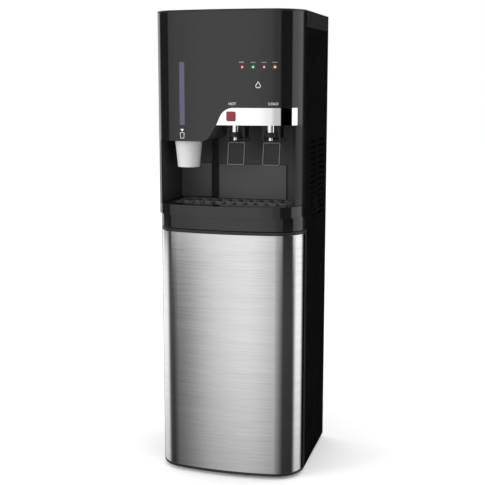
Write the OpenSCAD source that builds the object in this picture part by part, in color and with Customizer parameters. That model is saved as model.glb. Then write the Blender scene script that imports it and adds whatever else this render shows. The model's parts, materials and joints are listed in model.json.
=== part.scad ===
// Bottom-loading hot and cold water dispenser with a built-in cup dispenser.
// Millimetres. X to the right seen from the front, Y to the back, Z up.
// The origin is on the floor, in the middle of the overall box.

/* [Cabinet] */
// Overall width
body_w = 335; // [325:1:345]
// Overall depth
body_d = 331; // [326:1:340]
// Overall height, feet included
body_h = 1046; // [1040:1:1060]
// Height of the rubber feet
foot_h = 6; // [5:0.5:7]
// Thickness of the side panels
panel_t = 1.5; // [1.2:0.1:2]
// Radius of the bow across the front
bow_r = 670; // [600:10:800]
// Corner radius of the upper front
corner_r = 72; // [70:0.5:74]
// How far the lower front stands behind the upper front
step_back = 14; // [12:0.5:16]

/* [Levels] */
// Top of the door
door_top = 569.5; // [568:0.5:570]
// Top of the apron over the door
apron_top = 601; // [600:0.5:601.5]
// Top of the drip tray
tray_top = 626; // [625:0.5:626.5]
// Underside of the cup housing
cup_housing_z = 766.5; // [764:0.5:768]
// Underside of the tap canopy, and of the bright trim
canopy_z = 802.5; // [801:0.5:804]
// Underside of the top cover's skirt
skirt_z = 1011; // [1005:1:1015]

/* [Cups] */
// Rim radius of a cup
cup_rim_r = 34.5; // [33.5:0.5:36]
// Base radius of a cup
cup_base_r = 24.5; // [23:0.5:27]
// Height of a cup
cup_h = 85; // [80:1:86]
// Cups in the magazine
cup_count = 20; // [6:1:26]

/* [Taps] */
// Middle of the hot tap
hot_x = 22; // [20:1:24]
// Middle of the cold tap
cold_x = 101; // [99:1:103]
// Forward lean of the resting paddles
paddle_lean = 11; // [9:1:12]

/* [Vents] */
// Slots in each column
vent_count = 14; // [8:1:14]
// Height between two slots
vent_pitch = 13.2; // [12:0.1:13.4]

/* [Hidden] */

// Plan of the cabinet
half_w = body_w / 2;
half_d = body_d / 2;
upper_front = -half_d;
lower_front = upper_front + step_back;
lower_corner_r = corner_r - 5;
shell_t = 3;
inner_x = half_w - panel_t;
seam_y = -86;
panel_front_y = seam_y + 1;
jamb_y = -57;
back_sheet_y = 148;
back_sheet_t = 1;
round_fn = 96;
corner_steps = 16;
bow_steps = 16;
small_fn = 32;
hair = 0.2;
reach = 400;

// Levels
base_z = foot_h;
door_bottom = base_z + 2;
cap_t = 6;
cap_top_z = door_bottom + cap_t;
steel_top = door_top - 7;
shelf_z = door_top + 1.5;
shelf_t = 4;
cover_z = body_h - 4;
tank_shelf_z = canopy_z + 9.5;
tank_z = tank_shelf_z + shell_t;
ledge_z = 707;
wall_z = tray_top + 1;

// Door hinge
hinge_x = half_w - 8;
hinge_y = -70;
hinge_r = 3;
run_gap = 0.05;
door_rear_y = -62;
door_t = 5;

// Rear fittings
gland_x = -130;
gland_z = 612;
gland_r = 6;
drain_x = 120;
drain_z = 600;
drain_r = 8;
switch_xs = [-119, -91];
switch_z = 960;
bezel_low = [-133, 945];
bezel_high = [-77, 975];
axle_r = 1.5;

// Cup dispenser
cup_x = -94.5;
cup_y = -107;
cup_z = ledge_z;
tube_r = cup_rim_r + 2;
tube_t = 2;
nest = 7;

// Taps
pivot_y = -122;
pivot_z = 771;
pin_r = 2.5;
spout_y = -137;
tap_xs = [hot_x, cold_x];

// Lamps and lock button
lamp_xs = [44.8, 68.2, 91.4, 114];
lamp_z = 925.4;
lamp_r = 2.75;
button_x = 20.5;
button_z = 821.5;
button_w = 20;
board_y = -146;

// Alcove plan
alcove_left = -150;
alcove_right = 154;
pocket_back = 4;
alcove_back = -16;
alcove_fillet = 40;
proud = 4;
grille_inset = 34;
grille_t = 4;

// Y of the centres of the front corners
function corner_y(front, corner, r_bow = bow_r, hw = half_w) =
  front + r_bow - sqrt(pow(r_bow - corner, 2) - pow(hw - corner, 2));

// Y of the upper front at a given x
function front_y(x, corner = corner_r, front = upper_front) =
  let (cx = half_w - corner, tx = cx / (bow_r - corner) * bow_r)
  abs(x) <= tx
    ? front + bow_r - sqrt(bow_r * bow_r - x * x)
    : corner_y(front, corner) - sqrt(max(0, corner * corner - pow(abs(x) - cx, 2)));

// Points along an arc, both ends included
function arc(x, y, r, from, to, steps) =
  [for (i = [0 : steps]) let (a = from + (to - from) * i / steps) [x + r * cos(a), y + r * sin(a)]];

// Plan of the cabinet, bowed in front with round corners, drawn inset from its outer skin
module outline(front, corner, inset = 0) {
  hw = half_w - inset;
  rc = corner - inset;
  rb = bow_r - inset;
  yf = front + inset;
  cx = hw - rc;
  cy = corner_y(yf, rc, rb, hw);
  spread = asin(cx / (rb - rc));
  polygon(concat(
    [[hw, half_d - inset], [-hw, half_d - inset]],
    arc(-cx, cy, rc, 180, 270 - spread, corner_steps),
    [for (i = [1 : bow_steps - 1]) let (a = 270 - spread + 2 * spread * i / bow_steps)
      [rb * cos(a), yf + rb + rb * sin(a)]],
    arc(cx, cy, rc, 270 + spread, 360, corner_steps)
  ));
}

module upper_plan(inset = 0) {
  outline(upper_front, corner_r, inset);
}

module lower_plan(inset = 0) {
  outline(lower_front, lower_corner_r, inset);
}

// Half-plane in front of y
module in_front_of(y) {
  translate([-reach, y - 2 * reach]) square([2 * reach, 2 * reach]);
}

// Wall of thickness t along the front, back to the seam
module upper_wall(outer = 0, t = shell_t, y = seam_y) {
  difference() {
    intersection() {
      upper_plan(outer);
      in_front_of(y);
    }
    upper_plan(outer + t);
  }
}

module lower_wall(outer = 0, t = shell_t, y = seam_y) {
  difference() {
    intersection() {
      lower_plan(outer);
      in_front_of(y);
    }
    lower_plan(outer + t);
  }
}

// Box between two corners
module block(low, high) {
  translate(low) cube(high - low);
}

// Cylinder along Y from y0 to y1
module rod_y(x, z, r, y0, y1, fn = small_fn) {
  translate([x, y0, z]) rotate([-90, 0, 0]) cylinder(r = r, h = y1 - y0, $fn = fn);
}

// Cylinder along X from x0 to x1
module rod_x(y, z, r, x0, x1, fn = small_fn) {
  translate([x0, y, z]) rotate([0, 90, 0]) cylinder(r = r, h = x1 - x0, $fn = fn);
}

// Cylinder along Z from z0 to z1
module rod_z(x, y, r, z0, z1, fn = round_fn) {
  translate([x, y, z0]) cylinder(r = r, h = z1 - z0, $fn = fn);
}

// Outline drawn in X and Z, carried along Y from y0 to y1
module along_y(y0, y1) {
  translate([0, y1, 0]) rotate([90, 0, 0]) linear_extrude(y1 - y0) children();
}

// Rounded rectangle about its middle
module rounded_rect(w, h, r) {
  for (sx = [-1, 1]) for (sy = [-1, 1])
    translate([sx * (w / 2 - r), sy * (h / 2 - r)]) circle(r = r, $fn = small_fn);
  square([w, h - 2 * r], center = true);
  square([w - 2 * r, h], center = true);
}

// Pipe through a list of points, with a square push-fit elbow at each bend
module pipe(points, r) {
  elbow = 2 * r + 4;
  for (i = [0 : len(points) - 2]) {
    a = points[i];
    d = points[i + 1] - a;
    translate(a)
      rotate([0, acos(d[2] / norm(d)), atan2(d[1], d[0])])
        cylinder(r = r, h = norm(d), $fn = small_fn);
  }
  for (i = [1 : 1 : len(points) - 2]) translate(points[i]) cube(elbow, center = true);
}

// ---- Cabinet ----

pan_inset = 15;
rim_t = 3;
swing_x = hinge_x - 10.5;

module base_pan() {
  floor_t = 6;
  rim_h = 22;
  color("#202123") translate([0, 0, base_z]) difference() {
    linear_extrude(rim_h) base_plan();
    translate([0, 0, floor_t]) linear_extrude(rim_h) bay_plan();
  }
}

// Half-plane to the left of x
module left_of(x) {
  translate([x - 2 * reach, -reach]) square([2 * reach, 2 * reach]);
}

// Floor of the bay: the whole cabinet behind the jambs, and inside the door in front of them
module base_plan() {
  intersection() {
    lower_plan(pan_inset);
    in_front_of(jamb_y);
    left_of(swing_x);
  }
  translate([-inner_x, jamb_y]) square([2 * inner_x, half_d - jamb_y]);
}

// Inside of the pan's rim, with the rim left wide under the jambs and the back sheet
module bay_plan() {
  side = inner_x - rim_t;
  wide_y = jamb_y + 15;
  intersection() {
    lower_plan(pan_inset + rim_t);
    left_of(swing_x - rim_t);
  }
  translate([-side, wide_y]) square([2 * side, back_sheet_y - rim_t - wide_y]);
}

module feet() {
  color("#141414")
    for (x = [-128, 128]) for (y = [-38, 138]) {
      rod_z(x, y, 17, 0, foot_h - 2);
      rod_z(x, y, 14, foot_h - 2, foot_h);
    }
}

// One side sheet, drawn for the right-hand side
module side_sheet() {
  groove_w = 3;
  groove_d = 0.6;
  groove_ys = [-50, 50, 148];
  groove_tops = [972, 825, 955];
  slot_h = 5;
  slot_r = 2;
  first_vent_z = 589;
  vent_ys = [1, 97];
  vent_l = [62, 68];
  difference() {
    block([inner_x, panel_front_y, base_z + 2], [half_w, half_d, skirt_z]);
    block([inner_x - 1, panel_front_y - 1, base_z], [half_w + 1, jamb_y, shelf_z]);
    for (i = [0 : 2]) {
      y = groove_ys[i];
      block([half_w - groove_d, y, 30], [half_w + 1, y + groove_w, groove_tops[i]]);
    }
    for (column = [0, 1]) for (i = [0 : vent_count - 1])
      translate([inner_x - 1, vent_ys[column], first_vent_z + i * vent_pitch])
        rotate([90, 0, 90]) linear_extrude(panel_t + 2)
          rounded_rect(vent_l[column], slot_h, slot_r);
  }
}

module right_side_panel() {
  color("#1b1c1e") side_sheet();
}

module left_side_panel() {
  color("#1b1c1e") mirror([1, 0, 0]) side_sheet();
}

module back_panel() {
  y0 = back_sheet_y - 1;
  y1 = back_sheet_y + back_sheet_t + 1;
  slot_half = 60;
  slot_h = 6;
  color("#202123") difference() {
    block([-inner_x, back_sheet_y, base_z + 22], [inner_x, back_sheet_y + back_sheet_t, skirt_z]);
    rod_y(gland_x, gland_z, gland_r, y0, y1);
    rod_y(drain_x, drain_z, drain_r, y0, y1);
    block([bezel_low[0], y0, bezel_low[1]], [bezel_high[0], y1, bezel_high[1]]);
    for (z = [70 : 14 : 168]) block([-slot_half, y0, z], [slot_half, y1, z + slot_h]);
  }
}

module back_screws() {
  color("#4a4b4d")
    for (x = [-158, 158]) for (z = [60, 300, 560, 780, 995])
      rod_y(x, z, 3.6, back_sheet_y + back_sheet_t, back_sheet_y + back_sheet_t + 2);
}

module service_shelf() {
  color("#2a2b2d") difference() {
    translate([0, 0, shelf_z]) linear_extrude(shelf_t) {
      translate([-inner_x, panel_front_y]) square([2 * inner_x, back_sheet_y - panel_front_y]);
      intersection() {
        lower_plan(shell_t + hair);
        in_front_of(panel_front_y);
      }
    }
    rod_z(hinge_x, hinge_y, hinge_r, shelf_z - 1, shelf_z + shelf_t + 1, small_fn);
    rod_z(probe_x, probe_y, hose_r, shelf_z - 1, shelf_z + shelf_t + 1, small_fn);
  }
}

module tank_shelf() {
  color("#2a2b2d")
    block([-inner_x, -50, tank_shelf_z], [inner_x, back_sheet_y, tank_shelf_z + shell_t]);
}

// Posts beside the bay, with the plate that the door's magnet holds on to
module door_jambs() {
  color("#202123") {
    for (side = [0, 1]) mirror([side, 0, 0])
      block([inner_x - 12, jamb_y, base_z + 22], [inner_x, jamb_y + 10, shelf_z]);
    block([-inner_x + 1, jamb_y - 1, 260], [-inner_x + 11, jamb_y, 310]);
  }
}

// Round dish that the bottle stands in
module bottle_platform() {
  bottle_r = 137;
  color("#33353a") translate([0, 4, base_z + 6]) rotate_extrude($fn = round_fn)
    polygon([[0, 0], [bottle_r, 0], [bottle_r, 14], [bottle_r - 4, 14], [bottle_r - 4, 5], [0, 5]]);
}

// ---- Water path ----

probe_x = -130;
probe_y = 118;
hose_r = 5;

module probe_clip() {
  color("#33353a") difference() {
    block([-150, 126, 400], [-110, back_sheet_y, 416]);
    rod_z(probe_x, probe_y, 9, 399, 417, small_fn);
  }
}

module bottle_probe() {
  color("#d8dadc") {
    rod_z(probe_x, probe_y, 9, 120, 505, small_fn);
    rod_z(probe_x, probe_y, 6, 110, 120, small_fn);
    rod_z(probe_x, probe_y, 25, 505, 530);
  }
}

module feed_hose() {
  color("#c9d2d6")
    pipe([[probe_x, probe_y, 530], [probe_x, probe_y, 600], [probe_x, 70, 600], [-105, 70, 600]], hose_r);
}

module water_pump() {
  color("#3a3f46") {
    block([-105, 45, shelf_z + shelf_t], [-60, 95, 625]);
    rod_x(70, 600, 22, -60, -20, round_fn);
  }
}

compressor_x = 85;
compressor_y = 78;

module compressor() {
  body_r = 55;
  foot_z = 585;
  color("#17181a") {
    translate([compressor_x, compressor_y, foot_z]) rotate_extrude($fn = round_fn)
      polygon([
        [0, 0], [body_r - 12, 0], [body_r, 14], [body_r, 90],
        [body_r - 8, 112], [body_r - 26, 126], [0, 130]
      ]);
    translate([compressor_x - 68, compressor_y - 40, foot_z]) cube([136, 80, 3]);
  }
}

module compressor_mounts() {
  color("#141414")
    for (x = [-58, 58]) for (y = [-30, 30])
      rod_z(compressor_x + x, compressor_y + y, 9, shelf_z + shelf_t, 585, small_fn);
}

// Serpentine of bare tube on two straps, in the recess behind the back sheet
module condenser_coil() {
  tube = 2.5;
  runs = 9;
  pitch = 28;
  first_z = 660;
  half_run = 118;
  mid_y = 157;
  color("#17181a") {
    for (i = [0 : runs - 1]) rod_x(mid_y, first_z + i * pitch, tube, -half_run, half_run);
    for (i = [0 : runs - 2]) {
      side = i % 2 == 0 ? 1 : -1;
      translate([side * half_run, mid_y, first_z + (i + 0.5) * pitch])
        rotate([90, 0, 0]) rotate([0, 0, side > 0 ? -90 : 90])
          rotate_extrude(angle = 180, $fn = round_fn)
            translate([pitch / 2, 0]) circle(r = tube, $fn = small_fn);
    }
    last_z = first_z + (runs - 1) * pitch;
    for (x = [-90, 0, 90])
      block([x - 4, back_sheet_y + back_sheet_t, first_z - 12], [x + 4, mid_y - 1, last_z + 12]);
  }
}

cold_tank_x = 72;
hot_tank_x = -76;
tanks_y = 70;
cold_can_r = 56;
hot_can_r = 52;
foam_r = 72;
can_h = 150;
cold_lift = 10;

// Thin can with a port in the middle of its lid
module can(x, r, z0, z1) {
  wall = 1;
  port_r = 4;
  difference() {
    rod_z(x, tanks_y, r, z0, z1);
    rod_z(x, tanks_y, r - wall, z0 + wall, z1 - wall);
    rod_z(x, tanks_y, port_r, z1 - 2 * wall, z1 + wall);
  }
}

module cold_tank() {
  color("#b9bcc0") can(cold_tank_x, cold_can_r, tank_z + cold_lift, tank_z + can_h);
}

// Foam sleeve that the cold tank stands in, open at the top
module tank_insulation() {
  foam_h = can_h + 15;
  color("#e8e6df") difference() {
    rod_z(cold_tank_x, tanks_y, foam_r, tank_z, tank_z + foam_h);
    rod_z(cold_tank_x, tanks_y, cold_can_r, tank_z + cold_lift, tank_z + foam_h + 1);
  }
}

// Can with its heater band
module hot_tank() {
  band_t = 4;
  band_low = tank_z + 40;
  band_high = tank_z + 70;
  color("#b9bcc0") {
    can(hot_tank_x, hot_can_r, tank_z, tank_z + can_h);
    difference() {
      rod_z(hot_tank_x, tanks_y, hot_can_r + band_t, band_low, band_high);
      rod_z(hot_tank_x, tanks_y, hot_can_r - 0.5, band_low - 1, band_high + 1);
    }
  }
}

// Pipe from the top of a tap to the front of its tank, in square bends
module tap_pipe(tap_x, tank_x, tank_front_y) {
  riser_y = -112;
  cross_y = -40;
  run_z = 840;
  pipe([
    [tap_x, riser_y, canopy_z], [tap_x, riser_y, run_z], [tap_x, cross_y, run_z],
    [tank_x, cross_y, run_z], [tank_x, tank_front_y, run_z]
  ], 4);
}

module tap_pipes() {
  color("#c9d2d6") {
    tap_pipe(cold_x, cold_tank_x, tanks_y - foam_r);
    tap_pipe(hot_x, hot_tank_x, tanks_y - hot_can_r);
  }
}

// ---- Rear fittings ----

// Rubber grommet clipped over the edge of the back sheet
module cord_gland() {
  flange_r = 10;
  bore_r = 3.8;
  rear_y = 162;
  color("#141414") difference() {
    union() {
      rod_y(gland_x, gland_z, gland_r, back_sheet_y - 4, back_sheet_y + back_sheet_t);
      rod_y(gland_x, gland_z, flange_r, back_sheet_y + back_sheet_t, rear_y);
      rod_y(gland_x, gland_z, flange_r, back_sheet_y - 7, back_sheet_y);
    }
    rod_y(gland_x, gland_z, bore_r, back_sheet_y - 8, rear_y + 1);
  }
}

module switch_bezel() {
  lip = 4;
  slot_w = 18;
  slot_h = 24;
  color("#17181a") difference() {
    union() {
      block(
        [bezel_low[0], back_sheet_y - 10, bezel_low[1]],
        [bezel_high[0], back_sheet_y + back_sheet_t, bezel_high[1]]
      );
      block(
        [bezel_low[0] - lip, back_sheet_y + back_sheet_t, bezel_low[1] - lip],
        [bezel_high[0] + lip, back_sheet_y + 4, bezel_high[1] + lip]
      );
    }
    for (x = switch_xs) {
      block(
        [x - slot_w / 2, back_sheet_y - 8, switch_z - slot_h / 2],
        [x + slot_w / 2, back_sheet_y + 5, switch_z + slot_h / 2]
      );
      rod_x(back_sheet_y - 1, switch_z, axle_r + run_gap, x - 12, x + 12);
    }
  }
}

// Rocker on its own axle stubs
module rocker(x) {
  axle_y = back_sheet_y - 1;
  rocker_w = 17;
  rod_x(axle_y, switch_z, axle_r, x - 11.5, x + 11.5);
  translate([x - rocker_w / 2, axle_y, switch_z]) rotate([90, 0, 90]) linear_extrude(rocker_w)
    polygon([[-3, -9], [4, -10], [6, 0], [9, 9.5], [-2.5, 8]]);
}

module hot_switch() {
  color("#a3121b") rocker(switch_xs[0]);
}

module cold_switch() {
  color("#1d6b34") rocker(switch_xs[1]);
}

module drain_spout() {
  bore_r = 5;
  rear_y = 158;
  color("#202123") difference() {
    rod_y(drain_x, drain_z, drain_r, back_sheet_y - 6, rear_y);
    rod_y(drain_x, drain_z, bore_r, back_sheet_y - 7, rear_y + 1);
  }
}

// Screw cap with finger flutes round its rim
module drain_cap() {
  cap_r = 12;
  flute_r = 1.4;
  flute_at = cap_r + 0.6;
  front_y = back_sheet_y + 4;
  rear_y = 163;
  color("#141414") difference() {
    rod_y(drain_x, drain_z, cap_r, front_y, rear_y, round_fn);
    rod_y(drain_x, drain_z, drain_r + run_gap, front_y - 1, rear_y - 4.5);
    for (a = [0 : 30 : 330])
      rod_y(
        drain_x + flute_at * cos(a), drain_z + flute_at * sin(a), flute_r, front_y - 1, rear_y + 1
      );
  }
}

// ---- Top ----

hatch_r = 46;
hatch_t = 2;
hatch_hinge_y = cup_y + hatch_r + 6;
hatch_hinge_z = body_h - 2;

module top_cover() {
  color("#1b1c1e") difference() {
    union() {
      translate([0, 0, cover_z]) linear_extrude(body_h - cover_z) upper_plan();
      translate([0, 0, skirt_z]) linear_extrude(cover_z - skirt_z) difference() {
        skirt_d = half_d - panel_front_y;
        translate([-half_w, panel_front_y]) square([body_w, skirt_d]);
        translate([shell_t - half_w, panel_front_y - 1])
          square([body_w - 2 * shell_t, skirt_d + 1 - shell_t]);
      }
    }
    rod_z(cup_x, cup_y, hatch_r + 0.4, body_h - hatch_t, body_h + 1);
    rod_z(cup_x, cup_y, tube_r, cover_z - 1, body_h);
    block([cup_x - 16, hatch_hinge_y - 20, body_h - hatch_t], [cup_x + 16, hatch_hinge_y, body_h + 1]);
    block([cup_x - 16, hatch_hinge_y - 3.5, cover_z - 1], [cup_x + 16, hatch_hinge_y + 4, body_h + 1]);
    rod_x(hatch_hinge_y, hatch_hinge_z, 1, cup_x - 20, cup_x + 20);
  }
}

module cup_hatch() {
  color("#1b1c1e") difference() {
    union() {
      rod_z(cup_x, cup_y, hatch_r, body_h - hatch_t, body_h);
      block([cup_x - 15.5, hatch_hinge_y - 20, body_h - hatch_t], [cup_x + 15.5, hatch_hinge_y, body_h]);
      rod_x(hatch_hinge_y, hatch_hinge_z, 2, cup_x - 15.5, cup_x + 15.5);
    }
    rod_x(hatch_hinge_y, hatch_hinge_z, 1 + run_gap, cup_x - 16, cup_x + 16);
    rod_z(cup_x, cup_y - hatch_r, 6, body_h - 1, body_h + 1, small_fn);
  }
}

module hatch_pin() {
  color("#b9bcc0") rod_x(hatch_hinge_y, hatch_hinge_z, 1, cup_x - 20, cup_x + 20);
}

// ---- Front ----

lobe_r = 26.5;
lobe_x = -50;
slope = 58;
trim_top = 839.5;
trim_r = 33;
trim_run = 38;
trim_end = 156.7;

// Where the sloped side of the cup housing meets the canopy
tip_x = lobe_x + lobe_r * sin(slope)
  + (canopy_z - cup_housing_z - lobe_r * (1 - cos(slope))) / tan(slope);

// The part of the cup housing that hangs below the canopy
module cup_side(lift = 0) {
  z0 = cup_housing_z + lift;
  r = lobe_r - lift;
  ex = lobe_x + r * sin(slope);
  ez = z0 + r * (1 - cos(slope));
  end_x = ex + (canopy_z + lift - ez) / tan(slope);
  translate([-reach, z0]) square([reach + lobe_x, canopy_z - cup_housing_z]);
  intersection() {
    translate([lobe_x, z0 + r]) circle(r = r, $fn = round_fn);
    translate([lobe_x, z0]) square([r, ez - z0]);
  }
  polygon([[lobe_x, ez], [ex, ez], [end_x, canopy_z + lift], [lobe_x, canopy_z + lift]]);
}

// Bright band over the taps, in X and Z: its left end leans, then rounds into the top
module trim_plan() {
  cx = tip_x + trim_run;
  cz = trim_top - trim_r;
  join_z = canopy_z + 13.5;
  join_x = cx - sqrt(trim_r * trim_r - pow(join_z - cz, 2));
  polygon([
    [tip_x, canopy_z], [trim_end, canopy_z], [trim_end, trim_top],
    [cx, trim_top], [cx, join_z], [join_x, join_z]
  ]);
  intersection() {
    translate([cx, cz]) circle(r = trim_r, $fn = round_fn);
    translate([cx - trim_r, join_z]) square([trim_r, trim_top - join_z]);
  }
}

window_x = -92;
window_w = 13;
window_low = 801;
window_high = 937;

module window_plan() {
  translate([window_x, (window_low + window_high) / 2])
    rounded_rect(window_w, window_high - window_low, 3);
}

module button_plan(grow = 0) {
  translate([button_x, button_z]) rounded_rect(button_w + 2 * grow, button_w + 2 * grow, 3 + grow);
}

trim_t = 1.2;

// Front of the fascia, in X and Z
module fascia_plan() {
  cup_side();
  translate([-reach, canopy_z]) square([2 * reach, cover_z - canopy_z]);
}

module front_fascia() {
  low = cup_housing_z - 10;
  color("#17181a") difference() {
    intersection() {
      translate([0, 0, low]) linear_extrude(cover_z - low + 10) upper_wall();
      along_y(-reach, 0) fascia_plan();
    }
    intersection() {
      translate([0, 0, low]) linear_extrude(cover_z - low) upper_wall(-2, trim_t + 2);
      along_y(-reach, 0) trim_plan();
    }
    along_y(-reach, 0) window_plan();
    along_y(-reach, 0) button_plan(0.4);
    for (x = lamp_xs) rod_y(x, lamp_z, lamp_r, -reach, -100);
  }
}

module chrome_trim() {
  color("#e6e7e8") difference() {
    intersection() {
      translate([0, 0, canopy_z - 10]) linear_extrude(trim_top - canopy_z + 20) upper_wall(0, trim_t);
      along_y(-reach, 0) trim_plan();
    }
    along_y(-reach, 0) button_plan(0.4);
  }
}

module cup_window() {
  color("#7f8299") intersection() {
    translate([0, 0, window_low]) linear_extrude(window_high - window_low) upper_wall(0.3, 2.4);
    along_y(-reach, 0) window_plan();
  }
}

lamp_colors = ["#d23a2e", "#3fae4a", "#d23a2e", "#d8862a"];

module indicator_lamps() {
  for (i = [0 : 3]) {
    x = lamp_xs[i];
    color(lamp_colors[i]) rod_y(x, lamp_z, lamp_r, front_y(x) + 0.5, board_y);
  }
}

module indicator_board() {
  color("#1f6b3a") block([-20, board_y, 850], [124, board_y + 1.6, 960]);
}

module lock_switch() {
  color("#2a2b2d") {
    block([8, board_y, 812], [33, board_y + 8, 831]);
    block([8, board_y + 1.6, 831], [33, board_y + 8, 862]);
  }
}

module hot_lock_button() {
  face_y = upper_front + 0.6;
  color("#b5232f") {
    along_y(face_y, face_y + 9) button_plan();
    rod_y(button_x, button_z, 3, face_y + 9, board_y - 3.4);
  }
}

module button_spring() {
  first_y = upper_front + 10.1;
  turns = 4;
  pitch = 1.9;
  color("#b9bcc0") for (i = [0 : turns - 1])
    translate([button_x, first_y + i * pitch, button_z]) rotate([-90, 0, 0])
      rotate_extrude($fn = small_fn) translate([5.2, 0]) circle(r = 0.5, $fn = 16);
}

// ---- Alcove ----

// Plan of the free space of the alcove, grown by the wall
module alcove_plan(grow = 0, forward = 0) {
  left = alcove_left - grow;
  right = alcove_right + grow;
  pocket = pocket_back - forward + grow;
  wall = alcove_back - forward + grow;
  fillet = alcove_fillet + grow;
  front = -160;
  polygon([
    [left, front], [right, front], [right, wall - fillet], [right - fillet, wall],
    [-52 + grow, wall], [-74 + grow, pocket], [left, pocket]
  ]);
  intersection() {
    translate([right - fillet, wall - fillet]) circle(r = fillet, $fn = round_fn);
    translate([right - fillet, wall - fillet]) square(fillet);
  }
}

module alcove_liner() {
  color("#1e1f21") {
    difference() {
      intersection() {
        translate([0, 0, wall_z]) linear_extrude(tank_shelf_z - wall_z) difference() {
          alcove_plan(shell_t);
          alcove_plan();
        }
        translate([0, 0, wall_z]) linear_extrude(tank_shelf_z - wall_z) upper_plan(shell_t + hair);
      }
      along_y(-reach, -20) translate([-reach, canopy_z + shell_t]) square([2 * reach, 40]);
    }
    translate([0, 0, apron_top]) linear_extrude(wall_z - apron_top) intersection() {
      difference() {
        alcove_plan(shell_t);
        alcove_plan();
      }
      translate([-reach, -20]) square(2 * reach);
    }
  }
}

module alcove_ceiling() {
  color("#1e1f21") difference() {
    intersection() {
      along_y(-170, pocket_back) difference() {
        translate([-reach, cup_housing_z]) square([2 * reach, canopy_z + shell_t - cup_housing_z]);
        translate([-reach, cup_housing_z + shell_t]) square([reach + lobe_x, 100]);
        difference() {
          translate([lobe_x, 0]) square([reach, canopy_z]);
          cup_side();
        }
        intersection() {
          translate([-reach, cup_housing_z + shell_t]) square([2 * reach, canopy_z - cup_housing_z]);
          cup_side(shell_t);
        }
      }
      translate([0, 0, cup_housing_z - 1]) linear_extrude(60) intersection() {
        upper_plan(shell_t + hair);
        alcove_plan();
      }
    }
    rod_z(cup_x, cup_y, tube_r, cup_housing_z - 1, canopy_z + 10);
    for (x = tap_xs) rod_z(x, -112, 4, canopy_z - 1, canopy_z + 10, small_fn);
  }
}

// Front corners beside the alcove
module pillars() {
  color("#1b1c1e") {
    translate([0, 0, wall_z]) linear_extrude(cup_housing_z - wall_z) intersection() {
      upper_wall();
      translate([-reach, -reach]) square([reach + alcove_left, 2 * reach]);
    }
    translate([0, 0, wall_z]) linear_extrude(canopy_z - wall_z) intersection() {
      upper_wall();
      translate([alcove_right, -reach]) square([reach, 2 * reach]);
    }
  }
}

// Two plates that stand proud of the alcove's back wall
module splash_panels() {
  color("#1e1f21") {
    block([-50, alcove_back - proud, wall_z], [alcove_right - alcove_fillet - 4, alcove_back, ledge_z]);
    block([alcove_left + 1, pocket_back - proud, wall_z], [-74, pocket_back, ledge_z]);
  }
}

// ---- Cups ----

module cup_tube() {
  color("#9a9ea6", 0.6) difference() {
    rod_z(cup_x, cup_y, tube_r + tube_t, cup_housing_z + shell_t, cover_z);
    rod_z(cup_x, cup_y, tube_r, cup_housing_z, cover_z + 1);
    block([window_x - 7, cup_y - 50, window_low], [window_x + 7, cup_y - 20, window_high]);
  }
}

// Nested cups: only the rims and a strip of each side show
module cup_stack() {
  first_z = cup_z + cup_h + 3;
  color("#eef0f0") translate([cup_x, cup_y, first_z]) rotate_extrude($fn = round_fn)
    polygon(concat(
      [[0, 0], [cup_rim_r - 2.5, 0]],
      [for (i = [0 : cup_count - 1]) each [
        [cup_rim_r - 2, i * nest + nest - 3],
        [cup_rim_r, i * nest + nest - 3],
        [cup_rim_r, i * nest + nest - 0.5],
        [cup_rim_r - 2.5, i * nest + nest - 0.5]
      ]],
      [[0, cup_count * nest - 0.5]]
    ));
}

module front_cup() {
  wall = 0.8;
  lip = 1.5;
  color("#eef0f0") translate([cup_x, cup_y, cup_z]) rotate_extrude($fn = round_fn)
    polygon([
      [0, 3], [0, 3 + wall], [cup_base_r - wall, 3 + wall], [cup_rim_r - lip - wall, cup_h],
      [cup_rim_r, cup_h], [cup_rim_r, cup_h - 2.5], [cup_rim_r - lip - 0.2, cup_h - 2.5],
      [cup_base_r, 0], [cup_base_r - wall, 0], [cup_base_r - wall, 3]
    ]);
}

// ---- Taps ----

ear_x = 15.5;
tap_w = 41;

module tap_body(x) {
  difference() {
    union() {
      block([x - tap_w / 2, -133, 776], [x + tap_w / 2, -100, canopy_z]);
      for (side = [-1, 1])
        block([x + side * (ear_x + 2.5) - 2.5, -129, 766.5], [x + side * (ear_x + 2.5) + 2.5, -115, 776]);
      rod_z(x, spout_y, 13, 776, 787);
    }
    rod_x(pivot_y, pivot_z, pin_r, x - 30, x + 30);
    rod_z(x, spout_y, 9, 787, canopy_z + 1);
    rod_z(x, spout_y, 5, 775, 788, small_fn);
    rod_z(x, -112, 3, 790, canopy_z + 1, small_fn);
  }
}

module hot_tap() {
  color("#222325") tap_body(hot_x);
}

module cold_tap() {
  color("#222325") tap_body(cold_x);
}

// Bright sleeve with the outlet under it
module spout(x) {
  difference() {
    union() {
      rod_z(x, spout_y, 9, 787, canopy_z);
      rod_z(x, spout_y, 5, 769, 787, small_fn);
    }
    rod_z(x, spout_y, 3, 768, 795, small_fn);
  }
}

module hot_spout() {
  color("#d9dadb") spout(hot_x);
}

module cold_spout() {
  color("#d9dadb") spout(cold_x);
}

// Hub on the pivot pin, neck and framed push plate
module lever(x) {
  plate_w = 39;
  plate_h = 51;
  plate_t = 4;
  drop = 6.5;
  translate([x, pivot_y, pivot_z]) difference() {
    rotate([-paddle_lean, 0, 0]) {
      rod_x(0, 0, 4.6, -14, 14);
      block([-9, -2, -drop - 4], [9, 2, 0]);
      difference() {
        translate([0, plate_t / 2, -drop - plate_h / 2]) rotate([90, 0, 0])
          linear_extrude(plate_t) rounded_rect(plate_w, plate_h, 3);
        translate([0, -plate_t / 2 + 1.2, -drop - plate_h / 2]) rotate([90, 0, 0])
          linear_extrude(plate_t) rounded_rect(plate_w - 6, plate_h - 6, 2);
      }
    }
    rod_x(0, 0, pin_r + run_gap, -20, 20);
  }
}

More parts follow.
